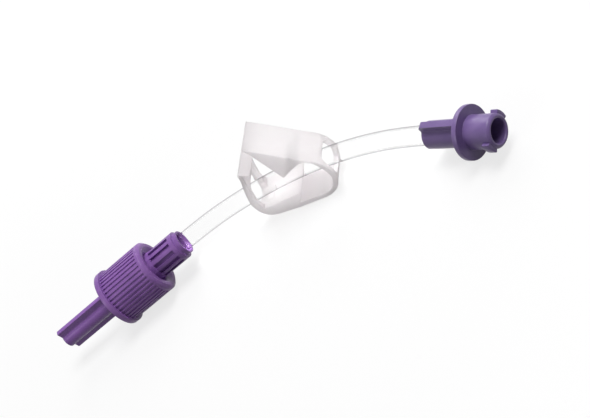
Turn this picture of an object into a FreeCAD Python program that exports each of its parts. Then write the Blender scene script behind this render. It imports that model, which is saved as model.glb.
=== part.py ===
"""Short extension line: a clear tube between a rotating lock connector and a socket connector,
with a one-piece pinch clamp riding on the tube. Millimetres, Z up, the line lying on a table at Z = 0."""
import FreeCAD, Part
import math
import os
import Sketcher

V = FreeCAD.Vector

# Driving dimensions: alias, value and what it is.
SIZES = [
    ("tube_radius", 2.05, "outer radius of the tube"),
    ("lumen_radius", 1.5, "inner radius of the tube"),
    ("bond_gap", 0.02, "film of adhesive around the bonded tube end"),
    ("insert_depth", 4.0, "depth of the tube's seat inside each connector"),
    ("end_gap", 0.1, "space between the tube's end and the bottom of its seat"),
    ("hub_radius", 3.5, "fluted hub of the male connector"),
    ("hub_lip_radius", 2.95, "plain lip around the tube exit"),
    ("hub_lip_length", 1.1, "length of the plain lip"),
    ("hub_length", 8.5, "tube exit to the back of the rotating collar"),
    ("flute_start", 2.2, "tube exit to the start of the flutes"),
    ("flute_end", 8.1, "tube exit to the end of the flutes"),
    ("flute_half_width", 0.48, "half the width of one flute"),
    ("flute_floor", 2.85, "radius at the bottom of a flute"),
    ("flute_count", 12, "number of flutes"),
    ("journal_radius", 3.57, "smooth seat that the collar turns on"),
    ("journal_gap", 0.07, "running clearance of the collar on its seat"),
    ("wall_length", 1.3, "thickness of the collar's back wall"),
    ("wall_gap", 0.05, "end clearance of the back wall against the flange"),
    ("keeper_radius", 3.95, "flange that keeps the collar on"),
    ("keeper_length", 1.2, "thickness of that flange"),
    ("nozzle_root_radius", 2.2, "male nozzle at its root"),
    ("nozzle_tip_radius", 1.96, "male nozzle at its tip"),
    ("nozzle_length", 8.5, "length of the male nozzle"),
    ("passage_radius", 1.15, "flow passage through the nozzle"),
    ("collar_length", 13.2, "overall length of the rotating collar"),
    ("collar_radius", 6.55, "over the collar's ribs"),
    ("collar_back_radius", 5.85, "flat back face of the collar"),
    ("collar_chamfer", 0.6, "length of the collar's back chamfer"),
    ("collar_bore", 4.1, "inside radius of the collar"),
    ("collar_mouth", 4.5, "inside radius at the chamfered mouth"),
    ("ring_radius", 7.17, "plain ring at the front of the collar"),
    ("ring_length", 1.3, "length of the plain ring"),
    ("sink_radius", 4.15, "countersink in the back wall"),
    ("sink_depth", 0.5, "depth of that countersink"),
    ("rib_count", 40, "number of ribs on the collar"),
    ("rib_floor", 6.25, "radius at the bottom of the grooves between ribs"),
    ("rib_groove_half_width", 0.25, "half the width of a groove between ribs"),
    ("rib_margin", 1.3, "smooth band at the collar's back"),
    ("cap_radius", 3.3, "cup of the tip cap"),
    ("cap_gap", 0.05, "clearance of the cup on the nozzle"),
    ("cap_start", 1.2, "nozzle length left bare behind the cup"),
    ("cap_end_gap", 0.3, "space between the nozzle's tip and the cup's floor"),
    ("cap_floor", 1.4, "thickness of the cup's floor"),
    ("stem_radius", 1.95, "round core of the cap's stem"),
    ("stem_length", 16.4, "stem outside the collar"),
    ("wing_reach", 3.5, "axis to the edge of a stem wing"),
    ("wing_thickness", 1.2, "thickness of a stem wing"),
    ("cap_roll", -6.0, "roll of the tip cap about its axis"),
    ("wing_gap", 0.3, "space between the collar's front and the stem wings"),
    ("socket_hub_radius", 2.78, "hub of the female connector"),
    ("socket_hub_length", 9.1, "length of that hub"),
    ("fin_reach", 4.35, "axis to the edge of a hub fin"),
    ("fin_thickness", 1.3, "thickness of a hub fin"),
    ("disc_radius", 5.3, "grip disc of the female connector"),
    ("disc_length", 1.1, "thickness of the grip disc"),
    ("barrel_radius", 3.3, "barrel of the female connector"),
    ("barrel_length", 5.8, "length of that barrel"),
    ("rim_radius", 2.85, "outside radius at the mouth"),
    ("rim_bevel", 0.5, "length of the bevel at the mouth"),
    ("socket_bore", 2.15, "socket for a mating nozzle"),
    ("socket_depth", 7.5, "depth of that socket"),
    ("mouth_radius", 2.45, "lead-in at the mouth"),
    ("mouth_depth", 0.4, "depth of that lead-in"),
    ("lug_reach", 3.95, "axis to the top of a lock lug"),
    ("lug_length", 1.6, "length of a lock lug along the axis"),
    ("lug_setback", 0.4, "mouth to the front of a lug"),
    ("lug_angle", 46.0, "angle that a lug covers"),
    ("socket_roll", 10.0, "roll of the female connector about its axis"),
    ("clamp_turn", 0.5, "angle of the clamp from X"),
    ("clamp_width", 8.4, "width of the clamp"),
    ("clamp_wall", 1.1, "thickness of the clamp's bend"),
    ("slot_clearance", 1.0, "space beside the tube in the clamp's slots"),
    ("jaw_clearance", 0.2, "space between the tube and the lower jaw"),
    ("sag_clearance", 0.4, "extra depth of the slot through the bend, where the tube slopes down"),
    ("bend_radius", 5.85, "outside radius of the clamp's bend"),
    ("bend_centre", 6.6, "clamp datum to the centre of the bend"),
    ("bend_end_angle", 10.0, "angle where the bend runs out into its straight end"),
    ("hinge_reach", 1.55, "length of that straight end, up to the hinge line"),
    ("knuckle_gap", 0.05, "clearance around the hinge line"),
    ("hinge_notch", 0.4, "depth of the notch below the hinge line"),
    ("window_top", 4.5, "tube axis to the top of the slot in the latch wall"),
    ("clamp_x", 6.27, "clamp datum along the table's X"),
    ("clamp_y", 9.53, "clamp datum along the table's Y"),
    ("clamp_height", 6.45, "clamp datum above the table"),
    ("foot_reach", 9.15, "datum to the foot of the latch wall"),
    ("wall_foot", 1.5, "thickness of the latch wall at its foot"),
    ("toe_reach", 8.30, "datum to the toe of the sole"),
    ("toe_drop", 4.20, "datum down to the toe"),
    ("heel_reach", 6.30, "datum to the front of the flat sole"),
    ("heel_drop", 5.35, "datum down to the front of the flat sole"),
    ("sole_reach", 0.40, "datum to the back of the flat sole"),
    ("sole_drop", 6.10, "datum down to the back of the flat sole"),
    ("jaw_nose", 3.0, "datum to the back edge of the lower jaw"),
    ("jaw_root_reach", 0.50, "datum to the root of the lower jaw"),
    ("jaw_root_drop", 4.85, "datum down to the root of the lower jaw"),
    ("kink_reach", 9.15, "datum to the outside of the latch wall where it starts to lean"),
    ("kink_rise", 0.50, "datum up to that place"),
    ("waist_reach", 7.90, "datum to the outside of the latch wall beside the slot"),
    ("waist_rise", 3.50, "datum up to that place"),
    ("shoulder_reach", 6.00, "datum to the outside of the latch wall above the slot"),
    ("shoulder_rise", 7.30, "datum up to that place"),
    ("crown_reach", 5.20, "datum to the top of the latch wall"),
    ("crown_rise", 9.40, "datum up to the top of the latch wall"),
    ("catch_reach", 3.00, "datum to the nose of the catch"),
    ("catch_rise", 7.78, "datum up to the nose of the catch"),
    ("hook_reach", 4.45, "datum to the back of the catch's underside"),
    ("hook_rise", 8.32, "datum up to the back of the catch's underside"),
    ("neck_reach", 4.90, "datum to the inside of the latch wall under the catch"),
    ("neck_rise", 7.00, "datum up to that place"),
    ("inside_reach", 6.40, "datum to the inside of the latch wall beside the slot"),
    ("inside_rise", 3.30, "datum up to that place"),
    ("lean_reach", 7.40, "datum to the inside of the latch wall where it starts to lean"),
    ("lean_rise", 0.50, "datum up to that place"),
    ("root_back_reach", 11.20, "datum to the outside of the lever above its hinge line"),
    ("root_back_rise", 3.75, "datum up to that place"),
    ("back_reach", 8.90, "datum to the start of the lever's flat back"),
    ("back_rise", 6.10, "datum up to that place"),
    ("tip_reach", 0.75, "datum to the lever's tip"),
    ("tip_rise", 15.00, "datum up to the lever's tip"),
    ("lip_reach", 1.30, "datum to the underside of the lever's tip"),
    ("lip_rise", 13.00, "datum up to that place"),
    ("wedge_reach", 2.60, "datum to the wedge that pinches the tube"),
    ("wedge_rise", 3.40, "datum up to the wedge"),
    ("arch_reach", 5.70, "datum to the middle of the arch behind the wedge"),
    ("arch_rise", 4.50, "datum up to that place"),
    ("vault_reach", 7.80, "datum to the top of the arch"),
    ("vault_rise", 5.05, "datum up to the top of the arch"),
    ("fillet_reach", 9.40, "datum to the back of the arch"),
    ("fillet_rise", 4.75, "datum up to the back of the arch"),
    ("root_reach", 10.45, "datum to the inside of the lever above its hinge line"),
    ("root_rise", 3.60, "datum up to that place"),
]

# Route of the tube between the two connectors, chosen by hand: each point lies on the table's X and Y
# at the height of the tube's axis.
ROUTE = [
    V(-25.83, 1.35, 7.17),
    V(-17.09, 5.07, 7.17),
    V(-8.10, 7.84, 6.95),
    V(2.90, 9.93, 6.62),
    V(14.28, 10.54, 6.25),
    V(25.54, 9.53, 5.82),
    V(36.70, 6.75, 5.30),
    V(45.76, 2.76, 5.30),
]
ARC_SHARE = 0.45

doc = FreeCAD.newDocument("extension_line")
sheet = doc.addObject("Spreadsheet::Sheet", "Sizes")
size = {}
for row, (alias, number, meaning) in enumerate(SIZES, start=1):
    sheet.set("A%d" % row, meaning)
    sheet.set("B%d" % row, str(number))
    sheet.setAlias("B%d" % row, alias)
    size[alias] = number
doc.recompute()


def value(text):
    """Number that a sum of size names and plain numbers stands for, such as "hub_length + 1.5"."""
    total = 0.0
    sign = 1.0
    for word in text.split():
        if word == "+":
            sign = 1.0
        elif word == "-":
            sign = -1.0
        else:
            total += sign * (size[word] if word in size else float(word))
    return total


def bound(text):
    """The same sum as an expression on the sheet's cells."""
    return " ".join("Sizes." + word if word in size else word for word in text.split())


def new_body(label):
    """Empty body with the name of its node."""
    body = doc.addObject("PartDesign::Body", label)
    body.Label = label
    return body


def origin_feature(body, role):
    """Plane or axis of a body's own origin."""
    return next(item for item in body.Origin.OriginFeatures if item.Role == role)


def outline(body, name, role, points, offset="0"):
    """Closed sketch through corners given as pairs of sums, held to the sheet corner by corner."""
    sketch = body.newObject("Sketcher::SketchObject", name)
    sketch.AttachmentSupport = [(origin_feature(body, role), "")]
    sketch.MapMode = "FlatFace"
    sketch.setExpression("AttachmentOffset.Base.z", bound(offset))
    corners = [V(value(across), value(up), 0) for across, up in points]
    count = len(corners)
    for index in range(count):
        sketch.addGeometry(Part.LineSegment(corners[index], corners[(index + 1) % count]), False)
    for index in range(count):
        sketch.addConstraint(Sketcher.Constraint("Coincident", index, 2, (index + 1) % count, 1))
    for index, (across, up) in enumerate(points):
        for kind, text, axis in (("DistanceX", across, -2), ("DistanceY", up, -1)):
            if text == "0":
                sketch.addConstraint(Sketcher.Constraint("PointOnObject", index, 1, axis))
                continue
            number = sketch.addConstraint(Sketcher.Constraint(kind, -1, 1, index, 1, value(text)))
            sketch.setExpression("Constraints[%d]" % number, bound(text))
    return sketch


def turned(body, name, points, kind="PartDesign::Revolution"):
    """Outline turned fully about the body's X axis, added or cut away."""
    sketch = outline(body, name + "_outline", "XY_Plane", points)
    feature = body.newObject(kind, name)
    feature.Profile = sketch
    feature.ReferenceAxis = (sketch, ["H_Axis"])
    feature.Angle = 360
    return feature


def plate(body, name, role, points, thickness):
    """Flat plate centred on the plane of its outline."""
    feature = body.newObject("PartDesign::Pad", name)
    feature.Profile = outline(body, name + "_outline", role, points)
    feature.setExpression("Length", bound(thickness))
    feature.SideType = "Symmetric"
    return feature


def groove_row(body, name, points, floor, top, count):
    """Straight grooves around the X axis, each cut outwards from its floor."""
    before = volume_of(body)
    pocket = body.newObject("PartDesign::Pocket", name)
    pocket.Profile = outline(body, name + "_outline", "XY_Plane", points, floor)
    pocket.setExpression("Length", bound(top + " - " + floor))
    pocket.Reversed = True
    ring = around(body, name + "_ring", pocket, count)
    after = volume_of(body)
    if after >= before:
        raise RuntimeError(name + " cut nothing")
    return ring


def around(body, name, feature, count):
    """Copies of a feature around the X axis."""
    ring = body.newObject("PartDesign::PolarPattern", name)
    ring.Originals = [feature]
    ring.Axis = (origin_feature(body, "X_Axis"), [""])
    ring.Angle = 360
    ring.setExpression("Occurrences", bound(count))
    body.Tip = ring
    return ring


def volume_of(body):
    """Volume of a body as it stands."""
    doc.recompute()
    return body.Shape.Volume


def ring_points(start, end, inner, outer):
    """Corners of a ring's section."""
    return [(start, inner), (end, inner), (end, outer), (start, outer)]


def build_male_connector():
    """Fluted hub, seat and flange for the collar, and tapered nozzle; X runs from the tube to the tip."""
    body = new_body("male_connector")
    keeper_start = "hub_length + wall_length + wall_gap"
    nozzle_start = keeper_start + " + keeper_length"
    tip = nozzle_start + " + nozzle_length"
    turned(body, "male_core", [
        ("0", "0"),
        ("0", "hub_lip_radius"),
        ("hub_lip_length", "hub_lip_radius"),
        ("hub_lip_length", "hub_radius"),
        ("flute_end", "hub_radius"),
        ("flute_end", "journal_radius"),
        (keeper_start, "journal_radius"),
        (keeper_start, "keeper_radius"),
        (nozzle_start, "keeper_radius"),
        (nozzle_start, "nozzle_root_radius"),
        (tip, "nozzle_tip_radius"),
        (tip, "0"),
    ])
    half = "flute_half_width"
    groove_row(body, "flute", [
        ("flute_start", half), ("flute_end", half), ("flute_end", "0 - " + half), ("flute_start", "0 - " + half),
    ], "flute_floor", "hub_radius + 1", "flute_count")
    turned(body, "male_bores", [
        ("0", "0"),
        ("0", "tube_radius + bond_gap"),
        ("insert_depth", "tube_radius + bond_gap"),
        ("insert_depth", "passage_radius"),
        (tip, "passage_radius"),
        (tip, "0"),
    ], "PartDesign::Groove")
    return body


def build_collar():
    """Free-turning collar: ribbed sleeve, back wall on the connector's seat, plain ring at the front."""
    body = new_body("rotating_collar")
    back = "hub_length"
    front = "hub_length + collar_length"
    ring_start = front + " - ring_length"
    wall_end = "hub_length + wall_length"
    turned(body, "sleeve", [
        (back, "0"),
        (back, "collar_back_radius"),
        (back + " + collar_chamfer", "collar_radius"),
        (ring_start, "collar_radius"),
        (ring_start, "ring_radius"),
        (front, "ring_radius"),
        (front, "0"),
    ])
    half = "rib_groove_half_width"
    start = back + " + rib_margin"
    groove_row(body, "rib_groove", [
        (start, half), (ring_start, half), (ring_start, "0 - " + half), (start, "0 - " + half),
    ], "rib_floor", "collar_radius + 1", "rib_count")
    turned(body, "collar_hollow", [
        (back, "0"),
        (back, "sink_radius"),
        (back + " + sink_depth", "journal_radius + journal_gap"),
        (wall_end, "journal_radius + journal_gap"),
        (wall_end, "collar_bore"),
        (front + " - collar_mouth + collar_bore", "collar_bore"),
        (front, "collar_mouth"),
        (front, "0"),
    ], "PartDesign::Groove")
    return body


def build_tip_cap():
    """Cap over the nozzle with a winged stem to pull it by."""
    body = new_body("tip_cap")
    nozzle_start = "hub_length + wall_length + wall_gap + keeper_length"
    tip = nozzle_start + " + nozzle_length"
    open_end = nozzle_start + " + cap_start"
    floor = tip + " + cap_end_gap"
    cup_end = floor + " + cap_floor"
    front = "hub_length + collar_length"
    stem_end = front + " + stem_length"
    turned(body, "cap_core", [
        (open_end, "0"),
        (open_end, "cap_radius"),
        (cup_end, "cap_radius"),
        (cup_end, "stem_radius"),
        (stem_end, "stem_radius"),
        (stem_end, "0"),
    ])
    wing_start = front + " + wing_gap"
    plate(body, "stem_wings", "XZ_Plane", [
        (wing_start, "wing_reach"), (stem_end, "wing_reach"),
        (stem_end, "0 - wing_reach"), (wing_start, "0 - wing_reach"),
    ], "wing_thickness")
    turned(body, "cap_socket", [
        (nozzle_start, "0"),
        (nozzle_start, "nozzle_root_radius + cap_gap"),
        (tip, "nozzle_tip_radius + cap_gap"),
        (floor, "nozzle_tip_radius + cap_gap"),
        (floor, "0"),
    ], "PartDesign::Groove")
    return body


def build_female_connector():
    """Finned hub, grip disc and socket barrel with two lock lugs; X runs from the tube to the mouth."""
    body = new_body("female_connector")
    disc_end = "socket_hub_length + disc_length"
    mouth = disc_end + " + barrel_length"
    turned(body, "female_core", [
        ("0", "0"),
        ("0", "socket_hub_radius"),
        ("socket_hub_length", "socket_hub_radius"),
        ("socket_hub_length", "disc_radius"),
        (disc_end, "disc_radius"),
        (disc_end, "barrel_radius"),
        (mouth + " - rim_bevel", "barrel_radius"),
        (mouth, "rim_radius"),
        (mouth, "0"),
    ])
    plate(body, "hub_fins", "XZ_Plane", [
        ("0", "fin_reach"), ("socket_hub_length", "fin_reach"),
        ("socket_hub_length", "0 - fin_reach"), ("0", "0 - fin_reach"),
    ], "fin_thickness")
    lug_front = mouth + " - lug_setback"
    lug = body.newObject("PartDesign::Revolution", "lug")
    profile = outline(body, "lug_outline", "XY_Plane",
                      ring_points(lug_front + " - lug_length", lug_front, "socket_bore + 0.5", "lug_reach"))
    lug.Profile = profile
    lug.ReferenceAxis = (profile, ["H_Axis"])
    lug.Midplane = True
    lug.setExpression("Angle", bound("lug_angle"))
    doc.recompute()
    around(body, "lug_pair", lug, "2")
    turned(body, "female_bores", [
        ("0", "0"),
        ("0", "tube_radius + bond_gap"),
        ("insert_depth", "tube_radius + bond_gap"),
        ("insert_depth", "lumen_radius"),
        (mouth + " - socket_depth", "lumen_radius"),
        (mouth + " - socket_depth", "socket_bore"),
        (mouth + " - mouth_depth", "socket_bore"),
        (mouth, "mouth_radius"),
        (mouth, "0"),
    ], "PartDesign::Groove")
    return body


def route_path():
    """Straight runs joined by tangent arcs through the hand-chosen points."""
    edges = []
    start = ROUTE[0]
    for before, corner, after in zip(ROUTE, ROUTE[1:], ROUTE[2:]):
        toward = (before - corner).normalize()
        onward = (after - corner).normalize()
        half_turn = (math.pi - toward.getAngle(onward)) / 2
        reach = ARC_SHARE * min(before.distanceToPoint(corner), corner.distanceToPoint(after))
        radius = reach / math.tan(half_turn)
        middle = (toward + onward).normalize() * (radius / math.cos(half_turn) - radius)
        arc_start = corner + toward * reach
        arc_end = corner + onward * reach
        edges.append(Part.LineSegment(start, arc_start).toShape())
        edges.append(Part.Arc(arc_start, corner + middle, arc_end).toShape())
        print("tube arc radius %.1f mm" % radius)
        start = arc_end
    edges.append(Part.LineSegment(start, ROUTE[-1]).toShape())
    return Part.Wire(edges)


def swept(path, radius):
    """Round solid along the path."""
    along = (ROUTE[1] - ROUTE[0]).normalize()
    section = Part.Wire([Part.Circle(ROUTE[0], along, radius).toShape()])
    return path.makePipeShell([section], True, False)


def new_feature(label, shape, place=FreeCAD.Placement()):
    """Sub-part whose shape is made here, put in its place."""
    feature = doc.addObject("Part::Feature", label)
    feature.Label = label
    feature.Shape = shape
    feature.Placement = place
    return feature


def build_tube():
    """Clear tube, bonded into both connectors."""
    path = route_path()
    shape = swept(path, value("tube_radius")).cut(swept(path, value("lumen_radius")))
    section = math.pi * (value("tube_radius") ** 2 - value("lumen_radius") ** 2)
    print("tube volume %.2f mm3, section times length %.2f mm3" % (shape.Volume, section * path.Length))
    return new_feature("tube", shape)


def datum():
    """Point on the tube's axis that the clamp's outline is drawn from."""
    return V(value("clamp_x"), value("clamp_y"), value("clamp_height"))


def corner(across, up):
    """Corner of the clamp's outline, along the tube and up from its datum."""
    return V(value(across), 0, value(up))


def prism(edges):
    """Solid as wide as the clamp over an outline in its own upright plane."""
    width = value("clamp_width")
    face = Part.Face(Part.Wire(edges))
    face.translate(V(0, -width / 2, 0))
    return face.extrude(V(0, width, 0))


def lines(points):
    """Straight edges from point to point."""
    return [Part.LineSegment(first, second).toShape() for first, second in zip(points, points[1:])]


def bend_point(radius, degrees):
    """Point on a circle about the centre of the clamp's bend, whose lowest point lies on the table."""
    angle = math.radians(degrees)
    centre = V(value("bend_centre"), 0, value("bend_radius") - value("clamp_height"))
    return centre + V(radius * math.cos(angle), 0, radius * math.sin(angle))


def bend_arc(radius, first, last):
    """Arc about the centre of the clamp's bend."""
    ends = bend_point(radius, first), bend_point(radius, (first + last) / 2), bend_point(radius, last)
    return Part.Arc(*ends).toShape()


def strap_axes():
    """Directions along and across the straight end of the bend."""
    angle = math.radians(value("bend_end_angle"))
    return V(-math.sin(angle), 0, math.cos(angle)), V(math.cos(angle), 0, math.sin(angle))


def hinge_line():
    """Point on the line that the lever turns about, halfway through the bend's thickness."""
    along, _ = strap_axes()
    start = bend_point(value("bend_radius") - value("clamp_wall") / 2, value("bend_end_angle"))
    return start + along * value("hinge_reach")


def slot(low, high, near, far):
    """Room for the tube to pass through the clamp."""
    half = value("tube_radius") + value("slot_clearance")
    return Part.makeBox(far - near, 2 * half, high - low, V(near, -half, low))


def hinge_rod(radius):
    """Round bar along the hinge line, as wide as the clamp."""
    width = value("clamp_width")
    return Part.makeCylinder(radius, width, hinge_line() - V(0, width / 2, 0), V(0, 1, 0))


def clamp_placement():
    """Where the clamp stands on the tube."""
    return FreeCAD.Placement(datum(), FreeCAD.Rotation(V(0, 0, 1), value("clamp_turn")))


def jaw_height():
    """Top of the lower jaw, just under the tube."""
    return - value("tube_radius") - value("jaw_clearance")


def build_clamp_base():
    """Sole, lower jaw and bend of the clamp, up to the hinge line."""
    outer = value("bend_radius")
    inner = outer - value("clamp_wall")
    end = value("bend_end_angle")
    along, _ = strap_axes()
    rise = along * (value("hinge_reach") - value("hinge_notch"))
    jaw = jaw_height()
    foot = V(-value("foot_reach"), 0, jaw)
    toe = corner("0 - toe_reach", "0 - toe_drop")
    heel = corner("0 - heel_reach", "0 - heel_drop")
    sole = corner("0 - sole_reach", "0 - sole_drop")
    jaw_root = corner("jaw_root_reach", "0 - jaw_root_drop")
    edges = lines([foot, toe, heel, sole, bend_point(outer, -90)])
    edges.append(bend_arc(outer, -90, end))
    edges += lines([bend_point(outer, end), bend_point(outer, end) + rise,
                    bend_point(inner, end) + rise, bend_point(inner, end)])
    edges.append(bend_arc(inner, end, -90))
    edges += lines([bend_point(inner, -90), jaw_root, V(value("jaw_nose"), 0, jaw), foot])
    shape = prism(edges).cut(hinge_rod(value("clamp_wall") / 2 + value("knuckle_gap")))
    centre = value("bend_centre")
    shape = shape.cut(slot(jaw - value("sag_clearance"), hinge_line().z + outer, centre, centre + 2 * outer))
    return new_feature("clamp_base", shape, clamp_placement())


def build_latch_wall():
    """Springy end wall with a slot for the tube and the catch that holds the lever shut."""
    jaw = jaw_height()
    foot = V(-value("foot_reach"), 0, jaw)
    rise = [("kink_reach", "kink_rise"), ("waist_reach", "waist_rise"), ("shoulder_reach", "shoulder_rise"),
            ("crown_reach", "crown_rise"), ("catch_reach", "catch_rise"), ("hook_reach", "hook_rise"),
            ("neck_reach", "neck_rise"), ("inside_reach", "inside_rise"), ("lean_reach", "lean_rise")]
    points = [foot, *(corner("0 - " + across, up) for across, up in rise), foot + V(value("wall_foot"), 0, 0)]
    shape = prism(lines(points + points[:1]))
    shape = shape.cut(slot(jaw - 1, value("window_top"), -value("kink_reach") - 1, 0))
    return new_feature("clamp_latch_wall", shape, clamp_placement())


def build_clamp_lever():
    """Pressing lever with the wedge that pinches the tube, and the round root it turns on."""
    hinge = hinge_line()
    along, across = strap_axes()
    radius = value("clamp_wall") / 2
    outer = hinge + across * radius
    inner = hinge - across * radius
    run = ["root_back", "back", "tip", "lip", "wedge", "arch", "vault", "fillet", "root"]
    points = [corner(name + "_reach", name + "_rise") for name in run]
    edges = lines([outer, *points, inner])
    edges.append(Part.Arc(inner, hinge - along * radius, outer).toShape())
    passage = value("tube_radius") + value("slot_clearance")
    reach = value("bend_radius")
    start = value("vault_reach")
    shape = prism(edges).cut(slot(-reach, passage, start, start + 2 * reach))
    return new_feature("clamp_lever", shape, clamp_placement())


def heading(start, end):
    """Angle of a level run of the route from X, in degrees."""
    run = end - start
    return math.degrees(math.atan2(run.y, run.x))


def place_connectors(male_side, cap, female):
    """Connectors at the two ends of the route, each with its X axis pointing away from the tube."""
    held = value("insert_depth") - value("end_gap")
    male_turn = FreeCAD.Rotation(V(0, 0, 1), heading(ROUTE[1], ROUTE[0]))
    male_exit = ROUTE[0] + (ROUTE[1] - ROUTE[0]).normalize() * held
    for body in male_side:
        body.Placement = FreeCAD.Placement(male_exit, male_turn)
    roll = FreeCAD.Rotation(V(1, 0, 0), value("cap_roll"))
    cap.Placement = FreeCAD.Placement(male_exit, male_turn.multiply(roll))
    female_turn = FreeCAD.Rotation(V(0, 0, 1), heading(ROUTE[-2], ROUTE[-1]))
    female_turn = female_turn.multiply(FreeCAD.Rotation(V(1, 0, 0), value("socket_roll")))
    female_exit = ROUTE[-1] + (ROUTE[-2] - ROUTE[-1]).normalize() * held
    female.Placement = FreeCAD.Placement(female_exit, female_turn)


def check_and_export(nodes):
    """Stop on any failed object, then write one STEP file for each sub-part."""
    doc.recompute()
    for item in doc.Objects:
        if "Invalid" in item.State or "Error" in item.State:
            raise RuntimeError("%s did not build: %s" % (item.Label, item.State))
    os.makedirs("parts", exist_ok=True)
    whole = FreeCAD.BoundBox()
    for node in nodes:
        shape = node.Shape
        if shape.isNull() or not shape.isValid():
            raise RuntimeError(node.Label + " has no valid shape")
        shape.exportStep("parts/%s.step" % node.Label)
        if node.Label != "tube":
            whole.add(shape.optimalBoundingBox(False))
        print("%-18s %9.2f mm3, %d solid" % (node.Label, shape.Volume, len(shape.Solids)))
    print("without the tube:", whole)


male_connector = build_male_connector()
rotating_collar = build_collar()
tip_cap = build_tip_cap()
female_connector = build_female_connector()
place_connectors([male_connector, rotating_collar], tip_cap, female_connector)
clamp = [build_clamp_base(), build_latch_wall(), build_clamp_lever()]
print("clamp hinge line", hinge_line())
check_and_export([build_tube(), male_connector, rotating_collar, tip_cap, female_connector, *clamp])
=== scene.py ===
"""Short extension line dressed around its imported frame: a clear tube between a rotating lock connector with a
tip cap and a socket connector, with a one-piece pinch clamp on the tube. Metres, Z up, lying on a table at Z = 0."""
import logging
import math
from dataclasses import dataclass, replace
from enum import Enum

import bmesh
import bpy
from bmesh.types import BMEdge, BMVert, BMesh
from bpy.types import ID, Material, Mesh, Node, NodeSocket, NodeTree, Object
from mathutils import Matrix, Vector
from mathutils.kdtree import KDTree


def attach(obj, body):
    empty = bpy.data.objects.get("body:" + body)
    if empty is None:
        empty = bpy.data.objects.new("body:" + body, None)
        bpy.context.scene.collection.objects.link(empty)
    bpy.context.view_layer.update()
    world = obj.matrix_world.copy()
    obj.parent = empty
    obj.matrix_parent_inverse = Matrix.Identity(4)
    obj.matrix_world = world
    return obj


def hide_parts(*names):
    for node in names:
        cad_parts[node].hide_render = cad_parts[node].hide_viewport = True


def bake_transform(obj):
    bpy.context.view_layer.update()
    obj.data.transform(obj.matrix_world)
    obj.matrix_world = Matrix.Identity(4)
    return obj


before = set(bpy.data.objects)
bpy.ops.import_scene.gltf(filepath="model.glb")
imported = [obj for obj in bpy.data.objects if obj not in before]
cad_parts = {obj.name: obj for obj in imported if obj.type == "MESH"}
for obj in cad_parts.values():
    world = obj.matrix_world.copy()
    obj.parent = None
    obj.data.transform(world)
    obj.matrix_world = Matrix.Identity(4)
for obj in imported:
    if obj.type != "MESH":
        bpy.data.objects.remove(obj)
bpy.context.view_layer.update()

MM = 0.001
MERGE = 2e-8
SMOOTH_BELOW = math.radians(40.0)
LOG = logging.getLogger("extension_line")

Ring = list[Vector]
Corner = tuple[float, float]
Place = tuple[float, float, float]
Colour = tuple[float, float, float, float]


class Slot(Enum):
    """Material slots of the record."""

    TUBE = "clear_tube"
    LOCK = "purple"
    SOCKET = "blue_purple"
    CLAMP = "milky"


# -------- mesh helpers


def linked(name: str, data: ID) -> Object:
    """New object on its data, linked to the scene."""
    made = bpy.data.objects.new(name, data)
    bpy.context.scene.collection.objects.link(made)
    return made


def shaped(name: str, bm: BMesh) -> Object:
    """New linked object from a mesh, which is freed."""
    mesh = bpy.data.meshes.new(name)
    bm.to_mesh(mesh)
    bm.free()
    return linked(name, mesh)


def evaluated(source: Object) -> Mesh:
    """Mesh of an object with its modifiers or its curve worked out."""
    bpy.context.view_layer.update()
    return bpy.data.meshes.new_from_object(source.evaluated_get(bpy.context.evaluated_depsgraph_get()))


def spin_point(x: float, radius: float, angle: float) -> Vector:
    """Point at X, a radius and an angle round the X axis.

    Args:
        x: place along the axis.
        radius: distance from the axis.
        angle: angle from Y towards Z, in radians.

    Returns:
        The point.
    """
    return Vector((x, radius * math.cos(angle), radius * math.sin(angle)))


def loft(rings: list[Ring], closed: bool = True) -> BMesh:
    """Shell through rings that all have the same number of points.

    Args:
        rings: points of each ring, in order.
        closed: joins the last ring to the first; otherwise both ends are capped.

    Returns:
        A new mesh with merged doubles and outward faces.
    """
    bm = bmesh.new()
    made = bmesh.ops.create_circle(bm, cap_ends=False, radius=1.0, segments=len(rings[0]))
    verts = list(made["verts"])
    for vert, place in zip(verts, rings[0]):
        vert.co = place
    edges = list(bm.edges)
    start = list(edges)
    for ring in rings[1:]:
        order = {vert: index for index, vert in enumerate(verts)}
        grown = bmesh.ops.extrude_edge_only(bm, edges=edges)["geom"]
        edges = [item for item in grown if isinstance(item, BMEdge)]
        fresh: dict[int, BMVert] = {}
        for vert in (item for item in grown if isinstance(item, BMVert)):
            for edge in vert.link_edges:
                other = edge.other_vert(vert)
                if other in order:
                    fresh[order[other]] = vert
        verts = [fresh[index] for index in range(len(ring))]
        for vert, place in zip(verts, ring):
            vert.co = place
        rim = set(verts)
        edges = [edge for edge in edges if edge.verts[0] in rim and edge.verts[1] in rim]
    if closed:
        bmesh.ops.bridge_loops(bm, edges=start + edges)
    else:
        bmesh.ops.edgeloop_fill(bm, edges=start)
        bmesh.ops.edgeloop_fill(bm, edges=edges)
    tidy(bm)
    return bm


def tidy(bm: BMesh) -> None:
    """Merge doubles, drop slivers and turn the faces outwards."""
    bmesh.ops.remove_doubles(bm, verts=bm.verts[:], dist=MERGE)
    bmesh.ops.dissolve_degenerate(bm, dist=MERGE, edges=bm.edges[:])
    bmesh.ops.recalc_face_normals(bm, faces=bm.faces[:])


def round_edges(bm: BMesh, edges: list[BMEdge], width: float, segments: int, clamp: bool = False) -> None:
    """Replace edges by roundings.

    Args:
        bm: mesh that is changed.
        edges: edges to round.
        width: width of the rounding, in metres.
        segments: steps across the rounding.
        clamp: narrows the roundings where they would overlap.
    """
    bmesh.ops.bevel(bm, geom=edges, offset=width, offset_type="OFFSET", affect="EDGES", segments=segments,
                    profile=0.5, material=-1, clamp_overlap=clamp)


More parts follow.
